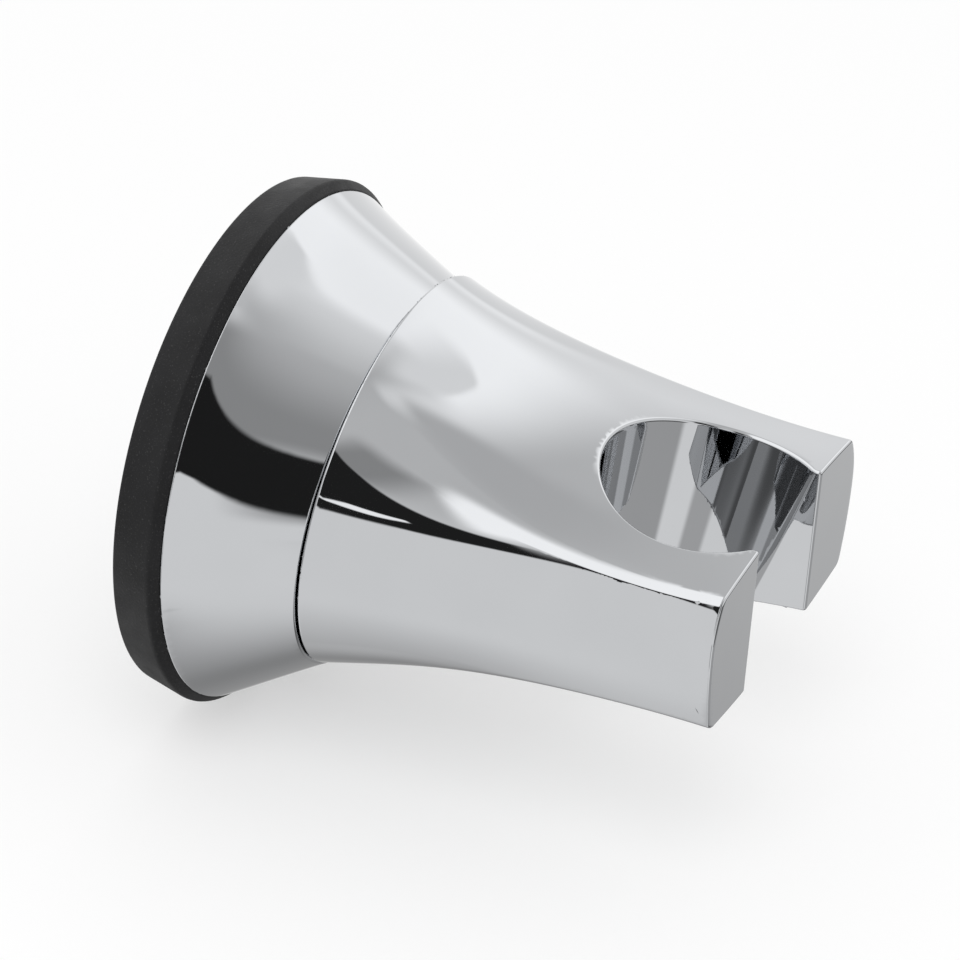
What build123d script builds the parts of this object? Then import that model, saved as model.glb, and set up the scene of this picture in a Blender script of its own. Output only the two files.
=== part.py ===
from build123d import *
from math import atan, cos, pi, radians, sin, tan
import os

os.makedirs("parts", exist_ok=True)

# The wall is the plane Y = 0 and the bracket reaches from it towards -Y, with +Z up and +X to the right of
# someone who faces the wall. The origin is the middle of the wall face. All lengths are in millimetres.

# Black ring against the wall
ring_back_radius = 30.0
ring_front_radius = 31.0
ring_side_depth = 4.9
ring_depth = 5.95
ring_bore_radius = 25.5
ring_lip_radius = 26.3
ring_lip_depth = 1.1
ring_edge_radius = 0.5

# Flared chrome cover
cover_rim_radius = 30.05
cover_waist_radius = 27.3
cover_waist_depth = 10.5
cover_front_radius = 22.9
cover_front_depth = 19.2
cover_front_rise = 0.5
cover_wall = 2.4
cover_web = 5.0
cover_edge_radius = 0.4
cover_rib_thickness = 1.6
cover_rib_start = 9.0
cover_section_shares = (0.0, 0.35, 0.7, 1.0)

# Swivel between the cover and the arm, whose plane leans with its top away from the wall
swivel_lean = 4.5
swivel_gap = 0.35
swivel_limit = 45.0

# Moulded plate that is screwed to the wall
plate_depth = 3.5
plate_collar_bore = 11.5
plate_collar_radius = 14.0
plate_collar_depth = 11.5
plate_groove_depth = 0.8
plate_pad_height = 0.8
plate_pad_margin = 1.2
screw_spacing = 39.0
screw_slot_width = 4.6
screw_slot_length = 7.2

# Sleeve in the cover that slides over the collar, and the screw that locks it from below
sleeve_wall = 2.25
sleeve_rear = 5.0
grub_radius = 2.5
grub_length = 9.0
grub_tip_length = 1.2
grub_depth = 9.0
grub_hex = 2.5
grub_hex_depth = 2.4
nut_width = 7.0
nut_thickness = 2.7
nut_seat_radius = 18.4
lock_block_width = 12.5

# Pivot bolt and what is stacked on it
bolt_radius = 4.0
bolt_head_radius = 6.5
bolt_head_height = 4.0
bolt_hex = 5.0
bolt_hex_depth = 2.6
bolt_reach = 11.0
bolt_tip_chamfer = 0.8
bush_wall = 1.5
bush_flange_radius = 8.0
bush_flange = 1.0
spring_radius = 7.6
spring_thickness = 0.8
spring_cone = 0.5
washer_radius = 8.2
washer_thickness = 1.4
friction_ring_bore = 6.5
friction_ring_radius = 10.0
friction_ring_thickness = 2.0
insert_wall = 1.8
insert_length = 11.0

# Seal that keeps water out of the swivel
seal_radius = 20.8
seal_thickness = 1.4

# Pin that stops the swivel
pin_radius = 1.5
pin_orbit = 16.6
pin_length = 9.0
pin_reach = 1.9

# Arm, from its round neck to its broad low end
arm_neck_radius = 23.3
arm_neck_rise = 1.3
arm_end_depth = 67.2
arm_end_width = 40.3
arm_end_top = 12.2
arm_end_bottom = -7.0
arm_waist_width = 41.8
arm_waist_top = 11.2
arm_waist_bottom = -10.9
arm_end_corner = 1.4
arm_end_belt_rise = 1.9
arm_parting_rise = 0.03
arm_neck_fullness_ratio = 0.9
arm_corner_pace = 3.54
# Rise of the arcs over the arm's top, bottom and sides, at the neck, for the middle and at the end
arm_crown_ratios = (0.27, 0.272, 0.16)
arm_keel_ratios = (0.27, 0.55, 0.095)
arm_bow_ratios = (0.27, 0.045, 0.07)
arm_wall = 3.0
arm_solid_length = 26.7
arm_boss_radius = 10.0
arm_pin_boss_radius = 3.0
arm_rib_thickness = 2.0
arm_rib_start = 3.0
arm_edge_radius = 0.4
arm_lean_pace = 4
arm_section_shares = (0.0, 0.14, 0.32, 0.54, 0.78, 1.0)

# Conical socket for the hand shower and the slot that its hose passes
socket_setback = 9.7
socket_mouth_radius = 12.2
socket_taper = 5.6
socket_lean = 9.0
hose_slot_width = 17.5
socket_above = 6.0
socket_below = 28.0

# Clearances
slide_clearance = 0.15
seat_clearance = 0.05
running_clearance = 0.05
ring_clearance = 0.3

x_axis = (1, 0, 0)
out_of_wall = Axis((0, 0, 0), (0, -1, 0))
radial_plane = Plane(origin=(0, 0, 0), x_dir=x_axis, z_dir=(0, 0, -1))
swivel_direction = (0, -cos(radians(swivel_lean)), -sin(radians(swivel_lean)))
swivel_centre = (0, -cover_front_depth, cover_front_rise)
swivel_plane = Plane(origin=swivel_centre, x_dir=x_axis, z_dir=swivel_direction)
swivel_axis = Axis(swivel_centre, swivel_direction)
swivel_radial_plane = Plane(
    origin=swivel_centre, x_dir=x_axis, z_dir=(0, sin(radians(swivel_lean)), -cos(radians(swivel_lean)))
)


def wall_offset(depth, height=0.0, lean=0.0):
    """Plane parallel to the wall, or leaning with its top outwards; its local x is right and its y is up."""
    return Plane(origin=(0, -depth, height), x_dir=x_axis, z_dir=(0, -cos(radians(lean)), -sin(radians(lean))))


def bend(share, start, middle, end):
    """Value at a share of a quadratic curve from start to end, drawn towards middle."""
    return (1 - share) ** 2 * start + 2 * share * (1 - share) * middle + share**2 * end


# Wall ring
with BuildPart() as wall_ring:
    with BuildSketch(radial_plane):
        with BuildLine():
            Polyline(
                (ring_bore_radius, 0),
                (ring_back_radius, 0),
                (ring_front_radius, ring_side_depth),
                (cover_rim_radius, ring_depth),
                (ring_lip_radius, ring_depth),
                (ring_lip_radius - ring_edge_radius, ring_depth + ring_lip_depth),
                (ring_bore_radius, ring_depth + ring_lip_depth),
                close=True,
            )
        make_face()
    revolve(axis=out_of_wall)
    ring_corner = wall_ring.edges().filter_by(GeomType.CIRCLE).sort_by(lambda edge: edge.radius)[-1]
    fillet(ring_corner, ring_edge_radius)
wall_ring.part.label = "wall_ring"
export_step(wall_ring.part, "parts/wall_ring.step")


# Wall plate: disc, collar with the groove for the locking screw, and two slots on raised pads
plate_radius = ring_bore_radius - ring_clearance
with BuildPart() as wall_plate:
    with BuildSketch(radial_plane):
        with BuildLine():
            Polyline(
                (0, 0),
                (plate_radius, 0),
                (plate_radius, plate_depth),
                (plate_collar_radius, plate_depth),
                (plate_collar_radius, grub_depth - grub_radius),
                (plate_collar_radius - plate_groove_depth, grub_depth),
                (plate_collar_radius, grub_depth + grub_radius - plate_groove_depth / 2),
                (plate_collar_radius, plate_collar_depth),
                (plate_collar_bore, plate_collar_depth),
                (plate_collar_bore, plate_depth),
                (0, plate_depth),
                close=True,
            )
        make_face()
    revolve(axis=out_of_wall)
    with BuildSketch(wall_offset(plate_depth)):
        with Locations((-screw_spacing / 2, 0), (screw_spacing / 2, 0)):
            SlotOverall(screw_slot_length + 2 * plate_pad_margin, screw_slot_width + 2 * plate_pad_margin)
    extrude(amount=plate_pad_height)
    with BuildSketch(wall_offset(0)):
        with Locations((-screw_spacing / 2, 0), (screw_spacing / 2, 0)):
            SlotOverall(screw_slot_length, screw_slot_width)
    extrude(amount=plate_depth + plate_pad_height, mode=Mode.SUBTRACT)
wall_plate.part.label = "wall_plate"
export_step(wall_plate.part, "parts/wall_plate.step")


# Cover: round sections that shrink and lean from the rim to the swivel
def cover_section(share, inset):
    """Plane and radius of one round section of the cover, its wall taken off by inset."""
    depth = bend(share, ring_depth, cover_waist_depth, cover_front_depth)
    radius = bend(share, cover_rim_radius, cover_waist_radius, cover_front_radius)
    plane = wall_offset(depth, cover_front_rise * share, swivel_lean * share**2)
    return plane, radius - inset


with BuildPart() as cover_body:
    for share in cover_section_shares:
        section_plane, section_radius = cover_section(share, 0)
        with BuildSketch(section_plane):
            Circle(section_radius)
    loft()
    cover_front = cover_body.faces().filter_by(GeomType.PLANE).sort_by(Axis.Y)[0]
    fillet(cover_front.edges(), cover_edge_radius)

with BuildPart() as cover_hollow:
    for share in cover_section_shares:
        section_plane, section_radius = cover_section(share, cover_wall)
        with BuildSketch(section_plane):
            Circle(section_radius)
    loft()
    split(bisect_by=swivel_plane.offset(-cover_web), keep=Keep.BOTTOM)

sleeve_bore = plate_collar_radius + slide_clearance
sleeve_radius = sleeve_bore + sleeve_wall
web_plane = swivel_plane.offset(-cover_web)
rib_run = cover_front_depth - cover_web / 2
with BuildPart() as sleeve_void:
    with BuildSketch(wall_offset(0)):
        Circle(sleeve_bore)
    extrude(amount=cover_front_depth)
    split(bisect_by=web_plane, keep=Keep.BOTTOM)

lock_block_reach = (plate_radius**2 - (lock_block_width / 2) ** 2) ** 0.5
with BuildPart() as cover_ribs:
    with BuildSketch(wall_offset(cover_rib_start)):
        with PolarLocations(0, 3, start_angle=30):
            Rectangle(2 * cover_rim_radius, cover_rib_thickness)
    extrude(amount=rib_run - cover_rib_start)
    with BuildSketch(wall_offset(sleeve_rear)):
        Circle(sleeve_radius)
        with Locations((0, -lock_block_reach / 2)):
            Rectangle(lock_block_width, lock_block_reach)
    extrude(amount=rib_run - sleeve_rear)
    add(sleeve_void.part, mode=Mode.SUBTRACT)
    add(cover_body.part, mode=Mode.INTERSECT)

bush_radius = bolt_radius + running_clearance + bush_wall
friction_seat = friction_ring_thickness - swivel_gap + seat_clearance
pin_slot_width = 2 * (pin_radius + ring_clearance)
lock_plane = Plane(origin=(0, -grub_depth, 0), x_dir=x_axis, z_dir=(0, 0, -1))
nut_plane = lock_plane.offset(nut_seat_radius)
nut_pocket_width = nut_width + 2 * slide_clearance
with BuildPart() as base_cover:
    add(cover_body.part)
    add(cover_hollow.part, mode=Mode.SUBTRACT)
    add(cover_ribs.part)
    with BuildSketch(web_plane):
        Circle(bush_radius + seat_clearance)
    extrude(amount=cover_web, mode=Mode.SUBTRACT)
    with BuildSketch(swivel_plane):
        Circle(friction_ring_radius + slide_clearance)
        Circle(friction_ring_bore - slide_clearance, mode=Mode.SUBTRACT)
    extrude(amount=-friction_seat, mode=Mode.SUBTRACT)
    with BuildSketch(swivel_plane):
        Circle(seal_radius + seal_thickness / 2 + seat_clearance)
        Circle(seal_radius - seal_thickness / 2 - seat_clearance, mode=Mode.SUBTRACT)
    extrude(amount=-seal_thickness, mode=Mode.SUBTRACT)
    with BuildSketch(swivel_plane):
        with BuildLine(mode=Mode.PRIVATE) as pin_path:
            CenterArc((0, 0), pin_orbit, 90 - swivel_limit, 2 * swivel_limit)
        SlotArc(pin_path.edge(), pin_slot_width)
    extrude(amount=-(pin_reach + ring_clearance), mode=Mode.SUBTRACT)
    with BuildSketch(lock_plane.offset(plate_collar_radius)):
        Circle(grub_radius + slide_clearance)
    extrude(amount=cover_rim_radius - plate_collar_radius, mode=Mode.SUBTRACT)
    with BuildSketch(nut_plane.offset(-slide_clearance)):
        with Locations((0, nut_pocket_width / 2)):
            Rectangle(nut_pocket_width, 2 * nut_pocket_width)
    extrude(amount=nut_thickness + 2 * slide_clearance, mode=Mode.SUBTRACT)
base_cover.part.label = "base_cover"
export_step(base_cover.part, "parts/base_cover.step")


# Screw that locks the cover on the collar, and the square nut that it turns in
grub_tip_radius = grub_radius - grub_tip_length
groove_reach = plate_groove_depth * (1 - grub_tip_radius / grub_radius)
grub_start = plate_collar_radius - groove_reach + seat_clearance
with BuildPart() as cover_grub_screw:
    with BuildSketch(lock_plane.offset(grub_start)):
        Circle(grub_radius)
    extrude(amount=grub_length)
    grub_tip = cover_grub_screw.faces().sort_by(Axis.Z)[-1]
    chamfer(grub_tip.edges(), grub_tip_length)
    with BuildSketch(lock_plane.offset(grub_start + grub_length)):
        RegularPolygon(grub_hex / 2, 6, major_radius=False)
    extrude(amount=-grub_hex_depth, mode=Mode.SUBTRACT)
cover_grub_screw.part.label = "cover_grub_screw"
export_step(cover_grub_screw.part, "parts/cover_grub_screw.step")

with BuildPart() as grub_screw_nut:
    with BuildSketch(nut_plane):
        Rectangle(nut_width, nut_width)
        Circle(grub_radius + running_clearance, mode=Mode.SUBTRACT)
    extrude(amount=nut_thickness)
grub_screw_nut.part.label = "grub_screw_nut"
export_step(grub_screw_nut.part, "parts/grub_screw_nut.step")


# Stack on the pivot, from the cover's web back to the bolt head, measured along the swivel axis
bush_rear = -cover_web - bush_flange
spring_rear = bush_rear - 2 * (spring_thickness + spring_cone) - 2 * seat_clearance
washer_rear = spring_rear - washer_thickness
head_front = washer_rear - seat_clearance
bolt_bore = bolt_radius + running_clearance

with BuildPart() as pivot_bush:
    with BuildSketch(swivel_radial_plane):
        with BuildLine():
            Polyline(
                (bolt_bore, bush_rear),
                (bush_flange_radius, bush_rear),
                (bush_flange_radius, -cover_web),
                (bush_radius, -cover_web),
                (bush_radius, -ring_clearance),
                (bolt_bore, -ring_clearance),
                close=True,
            )
        make_face()
    revolve(axis=swivel_axis)
pivot_bush.part.label = "pivot_bush"
export_step(pivot_bush.part, "parts/pivot_bush.step")

spring_bore = bolt_bore + slide_clearance
spring_middle = (bush_rear + spring_rear) / 2
with BuildPart() as disc_springs:
    for side in (1, -1):
        outer_face = spring_middle + side * seat_clearance / 2
        inner_face = outer_face + side * spring_cone
        with BuildSketch(swivel_radial_plane):
            with BuildLine():
                Polyline(
                    (spring_bore, inner_face),
                    (spring_radius, outer_face),
                    (spring_radius, outer_face + side * spring_thickness),
                    (spring_bore, inner_face + side * spring_thickness),
                    close=True,
                )
            make_face()
        revolve(axis=swivel_axis)
disc_springs.part.label = "disc_springs"
export_step(disc_springs.part, "parts/disc_springs.step")

with BuildPart() as bolt_washer:
    with BuildSketch(swivel_plane.offset(washer_rear)):
        Circle(washer_radius)
        Circle(bolt_bore, mode=Mode.SUBTRACT)
    extrude(amount=washer_thickness)
bolt_washer.part.label = "bolt_washer"
export_step(bolt_washer.part, "parts/bolt_washer.step")

with BuildPart() as pivot_bolt:
    with BuildSketch(swivel_plane.offset(head_front)):
        Circle(bolt_head_radius)
    extrude(amount=-bolt_head_height)
    head_rim = pivot_bolt.faces().sort_by(Axis.Y)[-1]
    chamfer(head_rim.edges(), bolt_tip_chamfer / 2)
    with BuildSketch(swivel_plane.offset(head_front)):
        Circle(bolt_radius)
    extrude(amount=bolt_reach - head_front)
    bolt_tip = pivot_bolt.faces().sort_by(Axis.Y)[0]
    chamfer(bolt_tip.edges(), bolt_tip_chamfer)
    with BuildSketch(swivel_plane.offset(head_front - bolt_head_height)):
        RegularPolygon(bolt_hex / 2, 6, major_radius=False)
    extrude(amount=bolt_hex_depth, mode=Mode.SUBTRACT)
pivot_bolt.part.label = "pivot_bolt"
export_step(pivot_bolt.part, "parts/pivot_bolt.step")

with BuildPart() as friction_ring:
    with BuildSketch(swivel_plane.offset(-friction_seat)):
        Circle(friction_ring_radius)
        Circle(friction_ring_bore, mode=Mode.SUBTRACT)
    extrude(amount=friction_ring_thickness)
friction_ring.part.label = "friction_ring"
export_step(friction_ring.part, "parts/friction_ring.step")

seal_centre = swivel_gap - ring_clearance - seal_thickness / 2
with BuildPart() as swivel_seal:
    with BuildSketch(swivel_radial_plane):
        with Locations((seal_radius, seal_centre)):
            Circle(seal_thickness / 2)
    revolve(axis=swivel_axis)
swivel_seal.part.label = "swivel_seal"
export_step(swivel_seal.part, "parts/swivel_seal.step")


# Arm: outlines that change from a round neck to a broad bar with a crowned top
neck_depth = cover_front_depth - cover_front_rise * tan(radians(swivel_lean))
neck_depth += swivel_gap / cos(radians(swivel_lean))


def arm_depth(share):
    """Distance from the wall of the arm's outline at a share of its length."""
    return neck_depth + (arm_end_depth - neck_depth) * share


def arm_plane(share):
    """Plane of the arm's outline, which leans with the swivel at the neck and stands upright further out."""
    return wall_offset(arm_depth(share), 0, swivel_lean * (1 - share) ** arm_lean_pace)


def quarter_outline(half_width, half_height, corner, rise_ratio, bow_ratio, inset):
    """Points of a quarter of the outline, from its widest point over the side, the corner and the top arc."""
    rise = rise_ratio * (half_height - corner)
    bow = bow_ratio * (half_width - corner)
    corner_x = half_width - corner - bow
    corner_y = half_height - corner - rise
    top_angle = 2 * atan(rise / corner_x)
    side_angle = 2 * atan(bow / corner_y)
    corner_angle = (pi / 2 - top_angle + side_angle) / 2
    side_radius = corner + corner_y / sin(side_angle)
    side_reach = side_radius - inset
    corner_reach = max(corner - inset, arm_edge_radius)
    return (
        (half_width + arm_parting_rise - inset, 0),
        (half_width - side_radius + side_reach * cos(side_angle / 2), side_reach * sin(side_angle / 2)),
        (corner_x + corner_reach * cos(side_angle), corner_y + corner_reach * sin(side_angle)),
        (corner_x + corner_reach * cos(corner_angle), corner_y + corner_reach * sin(corner_angle)),
        (corner_x + corner_reach * sin(top_angle), corner_y + corner_reach * cos(top_angle)),
        (0, half_height - inset),
    )


def arm_outline(share, inset):
    """Face of the arm's outline: a crowned top, a keeled bottom and bowed sides that run into round corners."""
    half_width = bend(share, arm_neck_radius, arm_waist_width / 2, arm_end_width / 2)
    top = bend(share, arm_neck_rise + arm_neck_radius, arm_waist_top, arm_end_top)
    bottom = bend(share, arm_neck_rise - arm_neck_radius, arm_waist_bottom, arm_end_bottom)
    belt = (top + bottom) / 2 + arm_end_belt_rise * share
    neck_corner = arm_neck_fullness_ratio * arm_neck_radius
    corner = arm_end_corner + (neck_corner - arm_end_corner) * (1 - share) ** arm_corner_pace
    crown_ratio = bend(share, *arm_crown_ratios)
    keel_ratio = bend(share, *arm_keel_ratios)
    bow_ratio = bend(share, *arm_bow_ratios)
    upper = quarter_outline(half_width, top - belt, corner, crown_ratio, bow_ratio, inset)
    lower = quarter_outline(half_width, belt - bottom, corner, keel_ratio, bow_ratio, inset)
    up_right = [(x, belt + y) for x, y in upper]
    up_left = [(-x, belt + y) for x, y in upper]
    low_right = [(x, belt - y) for x, y in lower]
    low_left = [(-x, belt - y) for x, y in lower]
    with BuildLine(arm_plane(share)) as outline:
        ThreePointArc(up_right[0], up_right[1], up_right[2])
        ThreePointArc(up_right[2], up_right[3], up_right[4])
        ThreePointArc(up_right[4], up_right[5], up_left[4])
        ThreePointArc(up_left[4], up_left[3], up_left[2])
        ThreePointArc(up_left[2], up_left[1], up_left[0])
        ThreePointArc(low_left[0], low_left[1], low_left[2])
        ThreePointArc(low_left[2], low_left[3], low_left[4])
        ThreePointArc(low_left[4], low_left[5], low_right[4])
        ThreePointArc(low_right[4], low_right[3], low_right[2])
        ThreePointArc(low_right[2], low_right[1], low_right[0])
    return Face(outline.wires()[0])


with BuildPart() as arm_body:
    loft(sections=[arm_outline(share, 0) for share in arm_section_shares])

arm_hollow_depth = arm_end_depth - arm_solid_length
hollow_share = (arm_hollow_depth - neck_depth) / (arm_end_depth - neck_depth)
hollow_shares = (0, hollow_share / 3, 2 * hollow_share / 3, hollow_share)
with BuildPart() as arm_hollow:
    loft(sections=[arm_outline(share, arm_wall) for share in hollow_shares])

arm_rear = swivel_plane.offset(swivel_gap)
boss_length = arm_hollow_depth - neck_depth + arm_wall / 2
with BuildPart() as arm_core:
    with BuildSketch(arm_rear):
        Circle(arm_boss_radius)
        with Locations((0, pin_orbit)):
            Circle(arm_pin_boss_radius)
    extrude(amount=boss_length)
    with BuildSketch(arm_rear.offset(arm_rib_start)):
        with PolarLocations(0, 2, start_angle=45):
            Rectangle(2 * arm_neck_radius, arm_rib_thickness)
    extrude(amount=boss_length - arm_rib_start)
    add(arm_body.part, mode=Mode.INTERSECT)

socket_depth = arm_end_depth - socket_setback
socket_plane = Plane(
    origin=(0, -socket_depth, arm_end_top),
    x_dir=x_axis,
    z_dir=(0, -sin(radians(socket_lean)), cos(radians(socket_lean))),
)
socket_slope = tan(radians(socket_taper))
insert_radius = bolt_radius + insert_wall
with BuildPart(socket_plane.offset(-socket_below)) as socket_cone:
    Cone(
        bottom_radius=socket_mouth_radius - socket_below * socket_slope,
        top_radius=socket_mouth_radius + socket_above * socket_slope,
        height=socket_below + socket_above,
        align=(Align.CENTER, Align.CENTER, Align.MIN),
    )

with BuildPart() as holder_arm:
    add(arm_body.part)
    add(arm_hollow.part, mode=Mode.SUBTRACT)
    add(arm_core.part)
    with BuildSketch(arm_rear):
        Circle(insert_radius + seat_clearance)
    extrude(amount=bolt_reach + ring_clearance, mode=Mode.SUBTRACT)
    with BuildSketch(arm_rear):
        with Locations((0, pin_orbit)):
            Circle(pin_radius + seat_clearance)
    extrude(amount=pin_length - pin_reach, mode=Mode.SUBTRACT)
    add(socket_cone.part, mode=Mode.SUBTRACT)
    with BuildSketch(wall_offset(socket_depth)):
        Rectangle(hose_slot_width, 2 * socket_below)
    extrude(amount=arm_end_depth - socket_depth, mode=Mode.SUBTRACT)
    socket_faces = holder_arm.faces().filter_by(GeomType.CONE)
    socket_rim = socket_faces.edges().filter_by(lambda edge: edge.center().Z > arm_end_top / 2)
    fork_ends = holder_arm.faces().filter_by(Plane.XZ).group_by(Axis.Y)[0]
    fillet(socket_rim + fork_ends.edges(), arm_edge_radius)
holder_arm.part.label = "holder_arm"
export_step(holder_arm.part, "parts/holder_arm.step")

with BuildPart() as arm_insert:
    with BuildSketch(arm_rear.offset(seat_clearance)):
        Circle(insert_radius)
        Circle(bolt_radius + seat_clearance / 2, mode=Mode.SUBTRACT)
    extrude(amount=insert_length)
arm_insert.part.label = "arm_insert"
export_step(arm_insert.part, "parts/arm_insert.step")

with BuildPart() as stop_pin:
    with BuildSketch(swivel_plane.offset(-pin_reach)):
        with Locations((0, pin_orbit)):
            Circle(pin_radius)
    extrude(amount=pin_length)
    chamfer(stop_pin.faces().sort_by(Axis.Y)[0].edges(), pin_radius / 4)
    chamfer(stop_pin.faces().sort_by(Axis.Y)[-1].edges(), pin_radius / 4)
stop_pin.part.label = "stop_pin"
export_step(stop_pin.part, "parts/stop_pin.step")
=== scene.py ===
# %% [markdown]
# A hand shower holder is three visible pieces: a black rubber ring on the wall, a flared chrome cover and a
# chrome arm that ends in a fork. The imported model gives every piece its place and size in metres. Small
# curved chrome parts are judged by what they mirror, so most of this lesson is about smooth surfaces and the
# studio that they mirror.

# %% Load the frame
from math import cos, pi, radians, sin, tan

import bmesh
import bpy
import numpy as np
from mathutils import Matrix, Vector


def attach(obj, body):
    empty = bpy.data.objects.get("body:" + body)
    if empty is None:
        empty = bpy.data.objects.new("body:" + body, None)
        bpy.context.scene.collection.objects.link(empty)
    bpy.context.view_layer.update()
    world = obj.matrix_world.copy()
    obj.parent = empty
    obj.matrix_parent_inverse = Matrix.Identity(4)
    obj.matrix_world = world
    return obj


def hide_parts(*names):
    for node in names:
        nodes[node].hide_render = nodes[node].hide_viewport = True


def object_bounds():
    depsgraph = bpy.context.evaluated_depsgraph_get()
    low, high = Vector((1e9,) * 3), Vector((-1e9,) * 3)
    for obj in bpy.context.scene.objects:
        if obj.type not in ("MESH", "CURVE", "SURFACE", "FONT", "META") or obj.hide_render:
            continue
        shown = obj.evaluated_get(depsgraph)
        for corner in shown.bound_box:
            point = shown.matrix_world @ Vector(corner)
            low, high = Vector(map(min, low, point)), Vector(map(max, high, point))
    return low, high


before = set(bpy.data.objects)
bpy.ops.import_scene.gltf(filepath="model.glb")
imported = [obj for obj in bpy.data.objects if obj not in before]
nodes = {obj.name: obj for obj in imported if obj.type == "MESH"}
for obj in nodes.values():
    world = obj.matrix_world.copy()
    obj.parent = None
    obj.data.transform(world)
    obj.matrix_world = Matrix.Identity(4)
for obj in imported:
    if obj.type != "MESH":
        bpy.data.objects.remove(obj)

cad_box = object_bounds()
millimetre = 0.001
print("nodes:", sorted(nodes))


# %% [markdown]
# The camera stands where the photo was taken from: above, to the left and in front, far enough away that
# the lines hardly converge. Its directions were worked out from the round rim, the parting line and the
# fork, so it is also rolled by a few degrees. A long lens fills the frame without any shift.

# %% Camera
def add_object(name, data):
    """Object in the scene that shows a mesh, a curve, a lamp or a camera."""
    added = bpy.data.objects.new(name, data)
    bpy.context.scene.collection.objects.link(added)
    return added


view_direction = Vector((0.76812, 0.32785, -0.55000))
view_up = Vector((0.47541, 0.28338, 0.83287))
view_right = view_direction.cross(view_up)
camera_data = bpy.data.cameras.new("camera")
camera_data.lens = 187.5
camera_data.sensor_width = 36.0
camera_data.clip_start = 0.01
camera = add_object("camera", camera_data)
camera.matrix_world = Matrix((view_right, view_up, -view_direction)).transposed().to_4x4()
camera.location = (-0.42985, -0.21372, 0.31124)
bpy.context.scene.camera = camera
bpy.context.scene.view_settings.view_transform = "Standard"
print("camera is", round(camera.location.length, 3), "m from the middle of the wall face")


# %% [markdown]
# Materials and worlds are trees of nodes. A few helpers keep them short. One adds a node with its values,
# and others add the nodes that come again and again: a sum, a sum of vectors, a mix of two colours. A value
# that is the output of another node is linked, and anything else is written into the input.

# %% Node helpers
def feed(tree, socket, value):
    """Link an input to another node's output, or write a plain value into it."""
    if isinstance(value, bpy.types.NodeSocket):
        tree.links.new(value, socket)
    else:
        socket.default_value = value


def add_node(tree, kind, inputs=None, **settings):
    """Node of a kind with its settings made and its inputs fed."""
    node = tree.nodes.new(kind)
    for name, value in settings.items():
        setattr(node, name, value)
    for key, value in (inputs or {}).items():
        feed(tree, node.inputs[key], value)
    return node


def math_node(tree, operation, first, second=0.0, clamp=False):
    """Result of a sum with one or two numbers."""
    inputs = {0: first, 1: second}
    return add_node(tree, "ShaderNodeMath", inputs, operation=operation, use_clamp=clamp).outputs[0]


def vector_node(tree, operation, *inputs):
    """Result of a sum with vectors. A dot product and a length are numbers, the others vectors."""
    node = add_node(tree, "ShaderNodeVectorMath", dict(enumerate(inputs)), operation=operation)
    return node.outputs["Value" if operation in ("DOT_PRODUCT", "LENGTH") else "Vector"]


def mix_colour(tree, factor, first, second):
    """Colour between two others: the first at factor 0 and the second at factor 1."""
    return add_node(tree, "ShaderNodeMix", {0: factor, 6: first, 7: second}, data_type="RGBA").outputs[2]


def mix_shader(tree, factor, first, second):
    """Shader between two others, mixed in the same way."""
    return add_node(tree, "ShaderNodeMixShader", {0: factor, 1: first, 2: second}).outputs[0]


def smooth_step(tree, share):
    """Share from 0 to 1 that starts and ends gently."""
    return add_node(tree, "ShaderNodeMapRange", {0: share}, interpolation_type="SMOOTHSTEP").outputs[0]


def mirror_rays(tree):
    """Light path of a tree, and a mask that is 1 for what a mirror or glass sees."""
    rays = add_node(tree, "ShaderNodeLightPath").outputs
    return rays, math_node(tree, "ADD", rays["Is Glossy Ray"], rays["Is Transmission Ray"], clamp=True)


def grey(level):
    """Colour without any tint."""
    return (level, level, level, 1.0)


# %% [markdown]
# What is used in several places becomes a node group: a small tree with named inputs that is built once and
# placed wherever it is needed, each time with other values.

# %% Group helpers
number, vector = "NodeSocketFloat", "NodeSocketVector"


def shader_group(name, inputs, output):
    """Empty node group with named inputs and one number as its output."""
    group = bpy.data.node_groups.new(name, "ShaderNodeTree")
    for key, kind in inputs:
        group.interface.new_socket(key, in_out="INPUT", socket_type=kind)
    group.interface.new_socket(output, in_out="OUTPUT", socket_type=number)
    return group, add_node(group, "NodeGroupInput").outputs, add_node(group, "NodeGroupOutput")


def place_group(tree, group, label="", **values):
    """Output of a group that is placed in a tree with its own values, named with _ for a space."""
    node = add_node(tree, "ShaderNodeGroup", node_tree=group, label=label)
    for key, value in values.items():
        feed(tree, node.inputs[key.replace("_", " ")], value)
    return node.outputs[0]


# %% [markdown]
# Chrome shows its studio. The one in the photo is a bright tent with a dark opening round the camera, a soft
# fall of light above it and a brighter wall behind the arm. Each soft tone is a panel seen in one direction,
# so a group measures how far a direction is from a panel's middle, across and up, and gives a mask with a
# soft edge. The world lays the panels over a white backdrop, the way a painter lays in flat tones.

# %% Panel group of the studio
panel_group, given, result = shader_group("studio_panel", (
    ("Direction", vector), ("Towards", vector), ("Across", vector), ("Up", vector),
    ("Half Width", number), ("Half Height", number), ("Softness", number)), "Mask")
grazing = 0.02
ahead = vector_node(panel_group, "DOT_PRODUCT", given["Direction"], given["Towards"])
facing = math_node(panel_group, "MAXIMUM", ahead, grazing)
mask = math_node(panel_group, "GREATER_THAN", ahead, grazing)
for axis, reach in (("Across", "Half Width"), ("Up", "Half Height")):
    sideways = vector_node(panel_group, "DOT_PRODUCT", given["Direction"], given[axis])
    distance = math_node(panel_group, "ABSOLUTE", math_node(panel_group, "DIVIDE", sideways, facing))
    beyond = math_node(panel_group, "SUBTRACT", distance, given[reach])
    ramp = math_node(panel_group, "DIVIDE", beyond, given["Softness"])
    inside = math_node(panel_group, "SUBTRACT", 0.5, ramp, clamp=True)
    mask = math_node(panel_group, "MULTIPLY", mask, smooth_step(panel_group, inside))
panel_group.links.new(mask, result.inputs["Mask"])
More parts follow.
